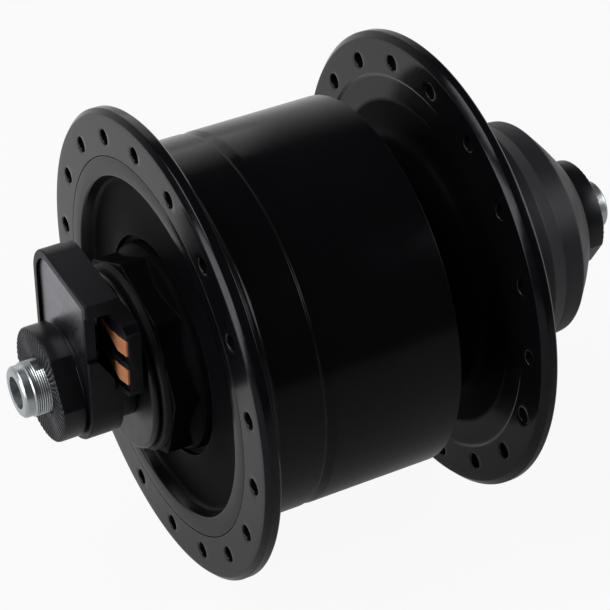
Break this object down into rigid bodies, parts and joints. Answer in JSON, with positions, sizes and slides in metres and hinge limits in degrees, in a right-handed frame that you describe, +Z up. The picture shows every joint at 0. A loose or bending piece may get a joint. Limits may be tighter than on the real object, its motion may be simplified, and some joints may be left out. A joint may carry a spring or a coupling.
{
  "type": "hub dynamo",
  "caption": "Front wheel hub dynamo: black flanged shell with spoke holes, turning on a hollow axle around a claw-pole stator, with a side connector.",
  "frame": {"origin": "middle of the axle, on the axis of the skewer bore", "axes": "+Y along the axle away from the connector, +Z up toward the tall side of the connector, +X the side where the terminals open"},
  "size_m": [0.079, 0.108, 0.079],
  "materials": {
    "anodised_shell": "satin black anodised",
    "anodised_cover": "matte dark grey anodised",
    "black_steel": "black finish, slightly worn",
    "zinc_steel": "bright zinc plate",
    "bearing_steel": "ground",
    "polished_steel": "polished",
    "soft_iron": "pressed, bare",
    "ferrite": "sintered, matte",
    "copper": "bare copper",
    "enamelled_copper": "enamelled wire",
    "insulated_wire": "insulated wire",
    "black_plastic": "moulded, fine grain",
    "natural_plastic": "moulded",
    "cage_plastic": "moulded",
    "grey_plate": "satin grey",
    "rubber": "matte"
  },
  "bodies": {
    "axle_unit": {"axle": "zinc_steel", "left_lock_nut": "black_steel", "left_washer": "black_steel", "connector_housing": "black_plastic", "connector_face_plate": "grey_plate", "terminal_block": "black_plastic", "upper_contact": "copper", "lower_contact": "copper", "left_spacer": "black_plastic", "left_dust_disc": "black_steel", "left_cone": "bearing_steel", "left_stator_nut": "zinc_steel", "left_claw_pole": "soft_iron", "stator_core": "soft_iron", "bobbin": "natural_plastic", "coil": "enamelled_copper", "coil_leads": "insulated_wire", "right_claw_pole": "soft_iron", "right_stator_nut": "zinc_steel", "right_cone": "bearing_steel", "right_spacer": "zinc_steel", "right_dust_cover": "anodised_cover", "right_washer": "black_steel", "right_lock_nut": "black_steel"},
    "wheel_unit": {"hub_shell": "anodised_shell", "end_cap": "anodised_shell", "cap_o_ring": "rubber", "yoke_ring": "soft_iron", "magnets": "ferrite", "left_cup": "bearing_steel", "right_cup": "bearing_steel", "left_seal": "rubber", "right_seal": "rubber"},
    "left_bearing": {"left_balls": "polished_steel", "left_ball_cage": "cage_plastic"},
    "right_bearing": {"right_balls": "polished_steel", "right_ball_cage": "cage_plastic"}
  },
  "joints": [
    {"name": "shell_spin", "type": "hinge", "parent": "axle_unit", "child": "wheel_unit", "pos_m": [0, 0, 0], "axis": [0, 1, 0], "continuous": true},
    {"name": "left_bearing_spin", "type": "hinge", "parent": "axle_unit", "child": "left_bearing", "pos_m": [0, -0.0316, 0], "axis": [0, 1, 0], "continuous": true},
    {"name": "right_bearing_spin", "type": "hinge", "parent": "axle_unit", "child": "right_bearing", "pos_m": [0, 0.0309, 0], "axis": [0, 1, 0], "continuous": true}
  ],
  "couplings": [
    {"joint": "left_bearing_spin", "follows": "shell_spin", "ratio": 0.5886},
    {"joint": "right_bearing_spin", "follows": "shell_spin", "ratio": 0.5886}
  ]
}
